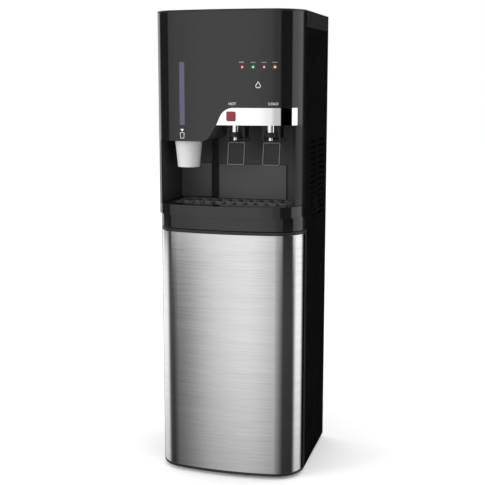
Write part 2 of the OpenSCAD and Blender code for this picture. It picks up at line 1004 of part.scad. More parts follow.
module hot_lever() {
  color("#2b2c2e") lever(hot_x);
}

module cold_lever() {
  color("#2b2c2e") lever(cold_x);
}

module lever_pins() {
  head_r = 4.5;
  color("#2b2c2e") for (x = tap_xs) {
    rod_x(pivot_y, pivot_z, pin_r, x - tap_w / 2 - 1, x + tap_w / 2);
    rod_x(pivot_y, pivot_z, head_r, x + tap_w / 2, x + tap_w / 2 + 8);
  }
}

// ---- Drip tray and apron ----

module apron() {
  color("#1b1c1e") {
    translate([0, 0, shelf_z]) linear_extrude(apron_top - shelf_z) lower_wall();
    translate([0, 0, apron_top - shell_t]) linear_extrude(shell_t) {
      intersection() {
        lower_plan();
        in_front_of(seam_y);
      }
      translate([-inner_x, seam_y - 1]) square([2 * inner_x, 10 - seam_y]);
    }
  }
}

// Plan of the grille: follows the front, and the alcove's back wall behind
module grille_plan(grow = 0) {
  intersection() {
    upper_plan(grille_inset - grow);
    union() {
      translate([-reach, -reach]) square([2 * reach, reach + alcove_back - proud - 3 + grow]);
      translate([-reach, -reach]) square([reach - 76 + grow, reach + pocket_back - proud - 3 + grow]);
    }
  }
}

// Plan of the whole tray, which reaches back into the alcove
module tray_plan() {
  left = -148;
  front = -160;
  gap = 0.6;
  intersection() {
    upper_plan();
    union() {
      in_front_of(seam_y);
      translate([left, front]) square([300, alcove_back - proud - gap - front]);
      translate([left, front]) square([72, pocket_back - proud - gap - front]);
    }
  }
}

tub_floor_z = apron_top + 1;
rim_z = tray_top - grille_t;
pan_t = 2;

// Front moulding, with the ledge that carries the grille and the tub
module drip_tray() {
  color("#1b1c1e") {
    translate([0, 0, tub_floor_z]) linear_extrude(tray_top - tub_floor_z) upper_wall();
    translate([0, 0, rim_z]) linear_extrude(grille_t) difference() {
      tray_plan();
      grille_plan(0.4);
    }
    translate([0, 0, rim_z - pan_t]) linear_extrude(pan_t) difference() {
      grille_plan(2);
      tub_plan(pan_t);
    }
  }
}

// Inside of the tub under the grille
module tub_plan(grow = 0) {
  low = [-123.5, -107.5];
  high = [123.5, -26.5];
  translate(low - [grow, grow]) square(high - low + 2 * [grow, grow]);
}

module drip_tub() {
  color("#202123") {
    translate([0, 0, tub_floor_z]) linear_extrude(rim_z - tub_floor_z) difference() {
      tub_plan(pan_t);
      tub_plan();
    }
    translate([0, 0, tub_floor_z]) linear_extrude(pan_t) tub_plan(pan_t);
  }
}

module drip_grille() {
  slot_w = 12;
  pitch = 24.5;
  columns = 10;
  rows = [[-124, -77], [-67, -26]];
  color("#3a3b3e") difference() {
    translate([0, 0, tray_top - grille_t]) linear_extrude(grille_t) grille_plan();
    for (i = [0 : columns - 1]) for (row = rows) {
      x = (i - (columns - 1) / 2) * pitch;
      low = max(row[0], front_y(x) + grille_inset + 7);
      block([x - slot_w / 2, low, tray_top - grille_t - 1], [x + slot_w / 2, row[1], tray_top + 1]);
    }
  }
}

// ---- Door ----

skin_t = 1.2;
skin_end_y = -80;

module door_skin() {
  color("#c4c6c8") translate([0, 0, cap_top_z]) linear_extrude(steel_top - cap_top_z)
    lower_wall(0, skin_t, skin_end_y);
}

// Inner moulding with its top and bottom caps and hinge bores
module door_liner() {
  color("#17181a") difference() {
    union() {
      translate([0, 0, cap_top_z]) linear_extrude(steel_top - cap_top_z) {
        lower_wall(skin_t, door_t - skin_t, door_rear_y);
        difference() {
          lower_wall(0, door_t, door_rear_y);
          in_front_of(skin_end_y);
        }
      }
      for (z = [[door_bottom, cap_top_z], [steel_top, door_top]])
        translate([0, 0, z[0]]) linear_extrude(z[1] - z[0]) lower_wall(0, 13, door_rear_y);
      for (side = [-1, 1]) mirror([side < 0 ? 1 : 0, 0, 0])
        block([half_w - 14, door_rear_y - 12, cap_top_z], [half_w - door_t, door_rear_y, steel_top]);
    }
    rod_z(hinge_x, hinge_y, hinge_r + run_gap, door_bottom - 1, cap_top_z + 10, small_fn);
    rod_z(hinge_x, hinge_y, hinge_r + run_gap, steel_top - 10, door_top + 1, small_fn);
  }
}

// Magnet block at the free edge of the door
module door_magnet() {
  color("#2a2b2d") block([-half_w + 5, door_rear_y, 262], [-half_w + 13, door_rear_y + 3, 308]);
}

// Hinge pins, the lower one on its bracket
module door_fittings() {
  color("#8d8f92") {
    rod_z(hinge_x, hinge_y, hinge_r, foot_h - 3, cap_top_z + 8, small_fn);
    block([hinge_x - 6, hinge_y - 8, foot_h - 3], [hinge_x + 6, -30, foot_h]);
    rod_z(hinge_x, hinge_y, hinge_r, steel_top - 8, shelf_z + shelf_t, small_fn);
  }
}

base_pan();
feet();
left_side_panel();
right_side_panel();
back_panel();
back_screws();
service_shelf();
tank_shelf();
door_jambs();
bottle_platform();
probe_clip();
bottle_probe();
feed_hose();
water_pump();
compressor();
compressor_mounts();
condenser_coil();
cold_tank();
tank_insulation();
hot_tank();
tap_pipes();
cord_gland();
switch_bezel();
hot_switch();
cold_switch();
drain_spout();
drain_cap();
top_cover();
cup_hatch();
hatch_pin();
front_fascia();
chrome_trim();
cup_window();
indicator_lamps();
indicator_board();
lock_switch();
hot_lock_button();
button_spring();
alcove_liner();
alcove_ceiling();
pillars();
splash_panels();
cup_tube();
cup_stack();
front_cup();
hot_tap();
cold_tap();
hot_spout();
cold_spout();
hot_lever();
cold_lever();
lever_pins();
apron();
drip_tray();
drip_tub();
drip_grille();
door_skin();
door_liner();
door_magnet();
door_fittings();
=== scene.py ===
import json
import bmesh
import bpy
import numpy as np
from math import cos, pi, radians, sin
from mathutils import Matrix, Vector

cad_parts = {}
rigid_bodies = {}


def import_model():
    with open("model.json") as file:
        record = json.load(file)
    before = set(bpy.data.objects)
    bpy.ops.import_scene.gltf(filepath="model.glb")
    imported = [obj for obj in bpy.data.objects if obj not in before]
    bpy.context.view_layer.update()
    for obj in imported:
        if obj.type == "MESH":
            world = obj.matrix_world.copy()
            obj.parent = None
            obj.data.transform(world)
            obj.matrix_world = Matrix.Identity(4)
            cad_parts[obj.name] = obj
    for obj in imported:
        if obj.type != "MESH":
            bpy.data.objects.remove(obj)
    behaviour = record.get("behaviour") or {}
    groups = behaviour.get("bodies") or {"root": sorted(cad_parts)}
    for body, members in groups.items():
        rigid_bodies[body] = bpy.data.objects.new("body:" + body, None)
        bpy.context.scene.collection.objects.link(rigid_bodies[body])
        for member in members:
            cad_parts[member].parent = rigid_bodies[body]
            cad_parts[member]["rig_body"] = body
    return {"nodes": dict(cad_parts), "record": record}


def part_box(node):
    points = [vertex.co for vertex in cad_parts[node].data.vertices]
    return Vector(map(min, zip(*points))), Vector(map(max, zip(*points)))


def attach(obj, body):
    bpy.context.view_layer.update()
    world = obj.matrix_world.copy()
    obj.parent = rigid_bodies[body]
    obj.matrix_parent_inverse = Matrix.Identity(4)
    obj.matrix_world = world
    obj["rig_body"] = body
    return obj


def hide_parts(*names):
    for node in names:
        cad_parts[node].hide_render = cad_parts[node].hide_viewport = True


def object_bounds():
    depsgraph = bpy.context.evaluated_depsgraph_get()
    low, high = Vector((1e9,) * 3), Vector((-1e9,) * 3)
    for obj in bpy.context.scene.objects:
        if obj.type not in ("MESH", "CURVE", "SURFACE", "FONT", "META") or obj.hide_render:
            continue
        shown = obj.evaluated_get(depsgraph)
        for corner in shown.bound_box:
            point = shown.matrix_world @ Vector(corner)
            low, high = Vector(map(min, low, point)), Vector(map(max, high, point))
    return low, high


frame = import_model()
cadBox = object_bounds()
mm = 0.001


def meshFrom(points, faces, name):
    mesh = bpy.data.meshes.new(name)
    mesh.from_pydata(np.asarray(points, float).tolist(), [], [list(map(int, f)) for f in faces])
    mesh.validate()
    bm = bmesh.new()
    bm.from_mesh(mesh)
    bmesh.ops.remove_doubles(bm, verts=bm.verts, dist=1e-6)
    bmesh.ops.recalc_face_normals(bm, faces=bm.faces)
    bm.to_mesh(mesh)
    bm.free()
    piece = bpy.data.objects.new(name, mesh)
    bpy.context.scene.collection.objects.link(piece)
    return piece


def gridFaces(rows, columns, wrapRows=False, wrapColumns=False):
    # quads between neighbours of a rows by columns grid of points, joined round where it wraps
    i = np.arange(rows if wrapRows else rows - 1)
    j = np.arange(columns if wrapColumns else columns - 1)
    i, j = (a.ravel() for a in np.meshgrid(i, j, indexing="ij"))
    nextI, nextJ = (i + 1) % rows, (j + 1) % columns
    quads = [i * columns + j, i * columns + nextJ, nextI * columns + nextJ, nextI * columns + j]
    return np.stack(quads, 1).tolist()


def smooth(piece, angle=35):
    piece.data.polygons.foreach_set("use_smooth", np.ones(len(piece.data.polygons), bool))
    piece.data.set_sharp_from_angle(angle=radians(angle))
    return piece


def bevelled(piece, width, segments=2, angle=35):
    # rounds every edge sharper than the angle, and lets the larger face set the shading at each corner
    smooth(piece, 180)
    bevel = piece.modifiers.new("edge", "BEVEL")
    bevel.width = width
    bevel.segments = segments
    bevel.limit_method = "ANGLE"
    bevel.angle_limit = radians(angle)
    even = piece.modifiers.new("evenShading", "WEIGHTED_NORMAL")
    even.mode = "FACE_AREA"
    even.weight = 100
    return piece


def place(piece, body, slot, material, *nodes):
    # gives the piece its finish, sets it on its body and lets it stand for the CAD nodes
    piece.data.materials.clear()
    piece.data.materials.append(material)
    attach(piece, body)
    if nodes:
        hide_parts(*nodes)
    return piece


def dressed(node, material, width, plan=None):
    # a copy of a CAD node's mesh, merged, with its flat faces made whole and its edges rounded
    source = frame["nodes"][node]
    mesh = source.data.copy()
    bm = bmesh.new()
    bm.from_mesh(mesh)
    bmesh.ops.remove_doubles(bm, verts=bm.verts, dist=1e-6)
    bmesh.ops.dissolve_limit(bm, angle_limit=radians(0.1), verts=bm.verts, edges=bm.edges)
    bm.to_mesh(mesh)
    bm.free()
    piece = bpy.data.objects.new("shown_" + node, mesh)
    bpy.context.scene.collection.objects.link(piece)
    bevelled(piece, width)
    if plan:
        sleek(piece, plan)
    return place(piece, source["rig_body"], slotOf[node], material, node)


def lathe(name, profile, centre, axis="z", steps=96):
    # a profile of (radius, height) turned about an axis through the centre, closed at both ends
    profile = np.array(profile, float)
    turn = np.linspace(0, 2 * pi, steps, endpoint=False)
    radius, height = profile[:, 0][:, None], profile[:, 1][:, None]
    a, b = radius * np.cos(turn), radius * np.sin(turn)
    c = np.broadcast_to(height, a.shape)
    order = {"z": (a, b, c), "y": (a, c, b)}[axis]
    points = np.stack(order, -1).reshape(-1, 3) + np.array(centre)
    return smooth(meshFrom(points, gridFaces(len(profile), steps, wrapColumns=True), name))


def arcPoints(centre, radius, start, end, steps):
    # points on an arc in a plane, from the start angle to the end angle in degrees
    turn = np.radians(np.linspace(start, end, steps))
    return np.stack([centre[0] + radius * np.cos(turn), centre[1] + radius * np.sin(turn)], -1)


def roundedPath(halfWidth, halfHeight, radius, steps=8):
    # closed outline of a rectangle with rounded corners, anticlockwise from the right-hand side
    corners = [(1, 1, 0), (-1, 1, 90), (-1, -1, 180), (1, -1, 270)]
    inX, inZ = halfWidth - radius, halfHeight - radius
    arcs = [arcPoints((sx * inX, sz * inZ), radius, at, at + 90, steps) for sx, sz, at in corners]
    return np.concatenate(arcs)


upper = {"halfWidth": 167.5 * mm, "front": cadBox[0].y, "corner": 72 * mm, "bow": 670 * mm}
lower = {"halfWidth": 167.5 * mm, "front": cadBox[0].y + 14 * mm, "corner": 67 * mm, "bow": 670 * mm}


def cornerCentre(plan):
    # centre of the right-hand corner's circle, which touches the side and the bow
    cx = plan["halfWidth"] - plan["corner"]
    apart = plan["bow"] - plan["corner"]
    return cx, plan["front"] + plan["bow"] - np.sqrt(apart**2 - cx**2), apart


def skinY(x, plan=upper):
    # depth of the front at x: the bow's circle in the middle, the corner's circle outside it
    x = np.asarray(x, float)
    cx, cy, apart = cornerCentre(plan)
    touch = cx / apart * plan["bow"]
    bow = plan["front"] + plan["bow"] - np.sqrt(plan["bow"] ** 2 - np.clip(x, -touch, touch) ** 2)
    corner = cy - np.sqrt(np.clip(plan["corner"] ** 2 - (np.abs(x) - cx) ** 2, 0, None))
    return np.where(np.abs(x) <= touch, bow, corner)


def planNormal(x, y, plan):
    # outward direction of the bowed plan through a point: away from the centre of the circle it lies on
    cx, cy, _ = cornerCentre(plan)
    bowY = plan["front"] + plan["bow"]
    side = np.sign(x)
    onBow = np.abs(x) * (bowY - cy) <= cx * (bowY - y)
    dx = np.where(onBow, x, side * (np.abs(x) - cx))
    dy = np.where(onBow, y - bowY, y - cy)
    flank = (y >= cy) & ~onBow
    dx, dy = np.where(flank, side, dx), np.where(flank, 0, dy)
    size = np.maximum(np.hypot(dx, dy), 1e-9)
    return np.stack([dx / size, dy / size, 0 * x], -1)


def sleek(piece, plan):
    # keeps the rounded edges, then points every corner that follows the bowed front in its true direction
    graph = bpy.context.evaluated_depsgraph_get()
    mesh = bpy.data.meshes.new_from_object(piece.evaluated_get(graph))
    piece.modifiers.clear()
    piece.data = mesh
    normals = np.empty(3 * len(mesh.loops))
    mesh.corner_normals.foreach_get("vector", normals)
    normals = normals.reshape(-1, 3)
    spots = np.empty(3 * len(mesh.vertices))
    mesh.vertices.foreach_get("co", spots)
    at = np.empty(len(mesh.loops), int)
    mesh.loops.foreach_get("vertex_index", at)
    spots = spots.reshape(-1, 3)[at]
    true = planNormal(spots[:, 0], spots[:, 1], plan)
    facing = (normals * true).sum(1)
    across = np.empty(3 * len(mesh.polygons))
    mesh.polygons.foreach_get("normal", across)
    sides = np.empty(len(mesh.polygons), int)
    mesh.polygons.foreach_get("loop_total", sides)
    flat = (np.repeat(across.reshape(-1, 3), sides, 0) * true).sum(1)
    facing = np.where(np.abs(flat) > cos(radians(9)), flat, facing)
    near = np.abs(facing) > cos(radians(20))
    normals[near] = (true * np.sign(facing)[:, None])[near]
    mesh.normals_split_custom_set(normals.tolist())


class Wire:
    # a socket that takes + - * and / with sockets and numbers

    def __init__(self, paint, socket):
        self.paint = paint
        self.socket = socket

    def maths(self, how, a, b):
        return self.paint.node("ShaderNodeMath", {"operation": how}, {0: a, 1: b})

    def __add__(self, other):
        return self.maths("ADD", self, other)

    def __radd__(self, other):
        return self.maths("ADD", other, self)

    def __mul__(self, other):
        return self.maths("MULTIPLY", self, other)

    def __rmul__(self, other):
        return self.maths("MULTIPLY", other, self)

    def __truediv__(self, other):
        return self.maths("DIVIDE", self, other)


class Paint:
    # one material or world, and its nodes

    def __init__(self, name, world=False):
        self.data = (bpy.data.worlds if world else bpy.data.materials).new(name)
        self.data.use_nodes = True
        self.tree = self.data.node_tree
        self.tree.nodes.clear()

    def node(self, kind, settings=None, sockets=None, out=0):
        made = self.tree.nodes.new(kind)
        for key, value in (settings or {}).items():
            if key == "stops":
                ramp = made.color_ramp.elements
                while len(ramp) < len(value):
                    ramp.new(0.5)
                for stop, (at, colour) in zip(ramp, value):
                    stop.position = at
                    stop.color = (*colour, 1)
            else:
                setattr(made, key, value)
        for key, value in (sockets or {}).items():
            if isinstance(value, Wire):
                self.tree.links.new(value.socket, made.inputs[key])
            else:
                made.inputs[key].default_value = value
        return None if out is None else Wire(self, made.outputs[out])

    def spot(self, scale=(1, 1, 1), turn=(0, 0, 0)):
        where = self.node("ShaderNodeTexCoord", out="Object")
        return self.node("ShaderNodeMapping", {}, {"Vector": where, "Scale": scale, "Rotation": turn})

    def noise(self, where, scale, detail=3.0, rough=0.5):
        sockets = {"Vector": where, "Scale": scale, "Detail": detail, "Roughness": rough}
        return self.node("ShaderNodeTexNoise", {}, sockets)

    def blend(self, amount, a, b):
        return self.node("ShaderNodeMix", {"data_type": "RGBA"}, {0: amount, 6: a, 7: b}, out=2)

    def bump(self, height, strength, distance):
        return self.node("ShaderNodeBump", {}, {"Height": height, "Strength": strength, "Distance": distance})

    def finish(self, **sockets):
        names = {key.replace("_", " "): value for key, value in sockets.items()}
        shader = self.node("ShaderNodeBsdfPrincipled", {}, names)
        self.node("ShaderNodeOutputMaterial", {}, {"Surface": shader}, out=None)
        return self.data


def tinted(colour, factor):
    return tuple(min(1, c * factor) for c in colour) + (1,)


def plastic(name, colour, rough, grain=900, depth=0.05, drift=0.25, shine=0.5):
    # moulded or painted surface: a fine grain in the bump, slow clouds in the colour and the gloss
    paint = Paint(name)
    cloud = paint.noise(paint.spot(), 14, 4, 0.6)
    fine = paint.noise(paint.spot(), grain, 2, 0.5)
    base = paint.blend(cloud, tinted(colour, 1 - drift), tinted(colour, 1 + drift))
    gloss = rough * (0.85 + 0.3 * cloud) + 0.03 * fine
    return paint.finish(Base_Color=base, Roughness=gloss, Specular_IOR_Level=shine,
                        Normal=paint.bump(fine, depth, 0.2 * mm))


def glossBlack(name, base):
    # piano-black moulding: almost a mirror, with faint wipe marks and a little orange peel
    paint = Paint(name)
    wipe = paint.noise(paint.spot((3, 3, 0.6), (0.2, 0.3, 0.1)), 9, 5, 0.65)
    peel = paint.noise(paint.spot(), 120, 2, 0.4)
    dust = paint.noise(paint.spot(), 1500, 2, 0.6)
    colour = paint.blend(wipe, tinted((base,) * 3, 0.85), tinted((base,) * 3, 1.2))
    return paint.finish(Base_Color=colour, Roughness=0.05 + 0.06 * wipe + 0.02 * dust, IOR=1.52,
                        Normal=paint.bump(peel, 0.03, 0.15 * mm))


def brushedSteel(name):
    # sheet brushed along the width: long thin streaks, short scratches and slow bands between them
    paint = Paint(name)
    long = paint.noise(paint.spot((7, 7, 560)), 1, 4, 0.6)
    short = paint.noise(paint.spot((34, 34, 1300)), 1, 3, 0.6)
    band = paint.noise(paint.spot((5, 5, 46)), 1, 3, 0.5)
    streak = 0.5 * long + 0.3 * short + 0.2 * band
    stops = [(0.34, (0.59, 0.59, 0.595)), (0.5, (0.68, 0.68, 0.685)), (0.66, (0.76, 0.76, 0.765))]
    tint = paint.node("ShaderNodeValToRGB", {"stops": stops}, {0: streak})
    return paint.finish(Base_Color=tint, Metallic=1.0, Roughness=0.09 + 0.12 * streak, Anisotropic=0.4,
                        Anisotropic_Rotation=0.25, Normal=paint.bump(short, 0.03, 0.04 * mm))


def chrome(name):
    # bright plating with faint handling marks
    paint = Paint(name)
    smear = paint.noise(paint.spot(), 60, 4, 0.6)
    tint = paint.blend(smear, (0.88, 0.88, 0.885, 1), (0.95, 0.95, 0.95, 1))
    return paint.finish(Base_Color=tint, Metallic=1.0, Roughness=0.02 + 0.04 * smear)


def metal(name, colour, rough):
    # bare or plated metal with a cloudy sheen and fine scratches
    paint = Paint(name)
    cloud = paint.noise(paint.spot(), 40, 4, 0.6)
    scratch = paint.noise(paint.spot((60, 900, 900)), 1, 3, 0.6)
    tint = paint.blend(cloud, tinted(colour, 0.8), tinted(colour, 1.1))
    return paint.finish(Base_Color=tint, Metallic=1.0, Roughness=rough * (0.8 + 0.4 * cloud),
                        Normal=paint.bump(scratch, 0.08, 0.1 * mm))


def paper(name):
    # coated cup board: soft white, with fibres and a faint mottle
    paint = Paint(name)
    fibre = paint.noise(paint.spot((1, 1, 0.35)), 1400, 4, 0.7)
    mottle = paint.noise(paint.spot(), 90, 3, 0.5)
    tint = paint.blend(0.5 * fibre + 0.5 * mottle, (0.5, 0.5, 0.505, 1), (0.6, 0.6, 0.6, 1))
    return paint.finish(Base_Color=tint, Roughness=0.42 + 0.2 * fibre,
                        Normal=paint.bump(fibre, 0.15, 0.1 * mm))


def smoked(name, colour, alpha, rough):
    # tinted see-through moulding with a slight cloud
    paint = Paint(name)
    cloud = paint.noise(paint.spot((1, 1, 0.3)), 45, 3, 0.5)
    tint = paint.blend(cloud, tinted(colour, 0.9), tinted(colour, 1.1))
    return paint.finish(Base_Color=tint, Roughness=rough + 0.08 * cloud, Alpha=alpha + 0.04 * cloud)


def lampLens(name, colour, middle):
    # lit lens: a pale spot in the middle that falls to the lamp's colour with distance from its centre
    paint = Paint(name)
    where = paint.node("ShaderNodeTexCoord", out="Object")
    away = paint.node("ShaderNodeVectorMath", {"operation": "DISTANCE"}, {0: where, 1: middle}, out="Value")
    reach = {"Value": away, "From Min": 0.5 * mm, "From Max": 2.6 * mm, "To Min": 1.0, "To Max": 0.0}
    glow = paint.node("ShaderNodeMapRange", {"interpolation_type": "SMOOTHSTEP"}, reach)
    light = paint.blend(glow, tinted(colour, 1), tuple(0.45 + 0.55 * c for c in colour) + (1,))
    return paint.finish(Base_Color=light, Roughness=0.15 + 0.1 * glow, Emission_Color=light,
                        Emission_Strength=0.5)


finishes = {
    "glossBlack": glossBlack("glossBlackMoulding", 0.008),
    "alcoveBlack": plastic("alcoveMoulding", (0.042, 0.042, 0.042), 0.34, 1000, 0.04, 0.1, 0.3),
    # splash plates: a dark moulding whose base colour is raised to paint in the grey reflection of the bright
    # front wall
    "splashGrey": plastic("splashPlateMoulding", (0.085, 0.085, 0.085), 0.3, 1000, 0.04, 0.06, 0.3),
    "pillarBlack": plastic("pillarMoulding", (0.01, 0.01, 0.01), 0.16, 1000, 0.03, 0.1, 0.22),
    "grilleGrey": plastic("grilleMoulding", (0.15, 0.15, 0.15), 0.25, 900, 0.06, 0.12),
    "sideBlack": plastic("sidePanelPaint", (0.006, 0.006, 0.0065), 0.24, 1100, 0.06, 0.25, 0.5),
    "frameBlack": plastic("frameBlackMoulding", (0.012, 0.012, 0.013), 0.45, 1300, 0.12),
    "leverBlack": plastic("leverMoulding", (0.012, 0.012, 0.012), 0.4, 800, 0.05, 0.2, 0.3),
    # lever rim: a real bead, lightened to grey to paint the highlight along the plate's chamfered edge
    "rimGrey": plastic("leverRimMoulding", (0.11, 0.11, 0.11), 0.35, 800, 0.05, 0.1),
    "steel": brushedSteel("brushedDoorSteel"),
    "chrome": chrome("brightPlating"),
    "stainless": metal("stainlessCan", (0.6, 0.6, 0.6), 0.3),
    "zinc": metal("zincPlate", (0.55, 0.56, 0.58), 0.35),
    "paper": paper("cupBoard"),
    "window": smoked("smokedWindow", (0.08, 0.078, 0.125), 0.9, 0.16),
    "tube": smoked("frostedTube", (0.35, 0.36, 0.4), 0.5, 0.4),
    "red": plastic("redButtonMoulding", (0.20, 0.014, 0.025), 0.25, 900, 0.05, 0.15),
    "green": plastic("greenSwitchMoulding", (0.01, 0.13, 0.03), 0.25, 900, 0.05, 0.15),
    "rubber": plastic("blackRubber", (0.018, 0.018, 0.018), 0.7, 1600, 0.25),
    "board": plastic("boardLaminate", (0.01, 0.11, 0.04), 0.4, 500, 0.08, 0.3),
    "foam": plastic("insulationFoam", (0.72, 0.68, 0.56), 0.85, 400, 0.6, 0.1),
    "white": plastic("whiteMoulding", (0.7, 0.71, 0.72), 0.35, 1000, 0.05, 0.05),
    "hose": plastic("siliconeHose", (0.5, 0.55, 0.58), 0.4, 700, 0.08, 0.08),
    "ink": plastic("printedInk", (0.72, 0.72, 0.72), 0.45, 1500, 0.1, 0.05),
    "labelInk": plastic("dimPrintedInk", (0.2, 0.2, 0.2), 0.45, 1500, 0.1, 0.05),
}
slotOf = {row["node"]: row["material_slot"] for row in frame["record"]["subparts"]}
slotFinish = {
    "gloss_black": "glossBlack", "panel_black": "sideBlack", "frame_black": "frameBlack",
    "brushed_steel": "steel", "chrome": "chrome", "zinc_steel": "zinc", "window": "window",
    "tube_clear": "tube", "paper_cup": "paper", "red_button": "red", "green_switch": "green",
    "lamps": "red", "lever_grey": "leverBlack", "rubber": "rubber", "board_green": "board",
    "stainless": "stainless", "foam": "foam", "white_plastic": "white", "hose_clear": "hose",
}
print("finishes made:", len(finishes))

# how far each CAD node's edges are rounded, in millimetres
edges = {
    "left_side_panel": 0.5, "right_side_panel": 0.5, "back_panel": 0.3, "top_cover": 1.0, "cup_hatch": 0.4,
    "base_pan": 0.8, "feet": 0.8, "door_liner": 0.6, "door_skin": 0.5, "apron": 0.7, "drip_tray": 1.5,
    "drip_tub": 0.6, "drip_grille": 0.9, "pillars": 0.6, "splash_panels": 0.8, "alcove_liner": 0.6,
    "alcove_ceiling": 0.6, "hot_tap": 0.8, "cold_tap": 0.8, "hot_lever": 0.5, "cold_lever": 0.5,
    "lever_pins": 0.8, "hot_lock_button": 0.8, "switch_bezel": 0.5, "hot_switch": 0.5, "cold_switch": 0.5,
    "drain_cap": 0.4, "cord_gland": 0.6, "bottle_platform": 0.8, "door_jambs": 0.6, "service_shelf": 0.5,
    "probe_clip": 0.6, "bottle_probe": 0.8, "hot_spout": 0.3, "cold_spout": 0.3, "door_fittings": 0.4,
    "back_screws": 0.5, "door_magnet": 0.4, "tank_shelf": 0.5, "water_pump": 1.0, "compressor": 0.8,
    "drain_spout": 0.4, "front_fascia": 0.4, "chrome_trim": 0.25, "cup_window": 0.5, "cup_tube": 0.4,
    "tank_insulation": 0.8, "cold_tank": 0.8, "hot_tank": 0.8,
}
ownFinish = {
    "alcove_liner": "alcoveBlack", "alcove_ceiling": "alcoveBlack", "splash_panels": "splashGrey",
    "drip_grille": "grilleGrey", "pillars": "pillarBlack",
}
followed = {
    "front_fascia": upper, "chrome_trim": upper, "drip_tray": upper,
    "pillars": upper, "alcove_ceiling": upper,
    "cup_window": upper, "apron": lower, "door_skin": lower, "door_liner": lower,
}
for node, cadPiece in frame["nodes"].items():
    finish = finishes[ownFinish.get(node, slotFinish[slotOf[node]])]
    if node in edges:
        dressed(node, finish, edges[node] * mm, followed.get(node))
    elif node not in ("front_cup", "cup_stack", "indicator_lamps"):
        cadPiece.data.materials.clear()
        cadPiece.data.materials.append(finish)
print("carried-over nodes dressed")

cup = {"wall": 0.8 * mm, "roll": 1.25 * mm, "baseRadius": 24.5 * mm, "foot": 3 * mm, "nest": 7 * mm}


def frontCup():
    # tapered cup with a rolled rim and a raised floor: one closed profile turned about the cup's axis
    low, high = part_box("front_cup")
    rim = (high[0] - low[0]) / 2
    tall = high[2] - low[2]
    rollAt = (rim - cup["roll"], tall - cup["roll"])
    rise = np.linspace(0, 1, 24)
    lip = rim - 1.7 * mm
    outerWall = np.stack([cup["baseRadius"] + (lip - cup["baseRadius"]) * rise, (tall - 2.5 * mm) * rise], -1)
    roll = arcPoints(rollAt, cup["roll"], -100, 170, 14)
    floorHigh = cup["foot"] + cup["wall"]
    inner = outerWall[::-1] - [cup["wall"], 0]
    inner = inner[inner[:, 1] > floorHigh + 1 * mm]
    bottomRadius = cup["baseRadius"] - cup["wall"]
    bottom = [(bottomRadius, floorHigh), (0, floorHigh), (0, cup["foot"]), (bottomRadius, cup["foot"]),
              (bottomRadius, 0), (cup["baseRadius"], 0)]
    profile = np.concatenate([outerWall, roll, inner, bottom])
    centre = ((low[0] + high[0]) / 2, (low[1] + high[1]) / 2, low[2])
    piece = lathe("frontPaperCup", profile, centre, steps=128)
    place(piece, "front_cup", "paper_cup", finishes["paper"], "front_cup")


def cupStack():
    # nested cups: the rolled rim of each, then the strip of its side down to the next rim
    low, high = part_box("cup_stack")
    rim = (high[0] - low[0]) / 2
    count = round((high[2] - low[2]) / cup["nest"])
    turn = np.radians(np.linspace(-80, 170, 9))
    lift = np.arange(count)[:, None] * cup["nest"] + cup["nest"] - 1.8 * mm
    radius = np.concatenate([np.full((count, 1), rim - 2.6 * mm),
                             np.broadcast_to(rim - cup["roll"] + cup["roll"] * np.cos(turn), (count, 9))], 1)
    height = np.concatenate([lift - 3.5 * mm, lift + cup["roll"] * np.sin(turn)[None]], 1)
    side = np.stack([radius.ravel(), height.ravel()], -1)
    profile = np.concatenate([[(0, 0), (rim - 3 * mm, 0)], side, [(0, side[-1, 1])]])
    centre = ((low[0] + high[0]) / 2, (low[1] + high[1]) / 2, low[2])
    place(lathe("nestedCups", profile, centre), "cabinet", "paper_cup", finishes["paper"], "cup_stack")


frontCup()
cupStack()
print("cups made")

lamps = {
    "places": [44.8, 68.2, 91.4, 114], "height": 925.4 * mm, "radius": 2.7 * mm, "dome": 0.9 * mm,
    "board": -146 * mm,
    "colours": [(0.62, 0.06, 0.04), (0.09, 0.42, 0.10), (0.5, 0.05, 0.06), (0.72, 0.28, 0.03)],
}


for i, colour in enumerate(lamps["colours"]):
    ring = plastic(f"lampRingInk{i + 1}", tuple(0.16 * c for c in colour), 0.3, 900, 0.05, 0.1)
    finishes[f"ring{i + 1}"] = ring


def lampLenses():
    # domed round lens: a quarter of an ellipse in front of a straight stem, turned about Y
    for i, across in enumerate(lamps["places"]):
        x = across * mm
        face = float(skinY(x)) + 0.15 * mm
        turn = np.radians(np.linspace(0, 90, 10))
        dome = np.stack([lamps["radius"] * np.sin(turn), face + lamps["dome"] * (1 - np.cos(turn))], -1)
        profile = np.concatenate([dome, [(lamps["radius"], lamps["board"]), (0, lamps["board"])]])
        lens = lathe(f"lampLens{i + 1}", profile, (x, 0, lamps["height"]), axis="y", steps=48)
        glass = lampLens(f"lampGlass{i + 1}", lamps["colours"][i], (x, face, lamps["height"]))
        place(lens, "cabinet", "lamps", glass, *(["indicator_lamps"] if i == 0 else []))


lampLenses()

lever = {"pivot": (-122 * mm, 771 * mm), "lean": 11, "drop": 6.5 * mm, "halfWidth": 18.2 * mm,
         "halfHeight": 24.2 * mm, "corner": 3 * mm, "wire": 1.2 * mm, "proud": 0.6 * mm}


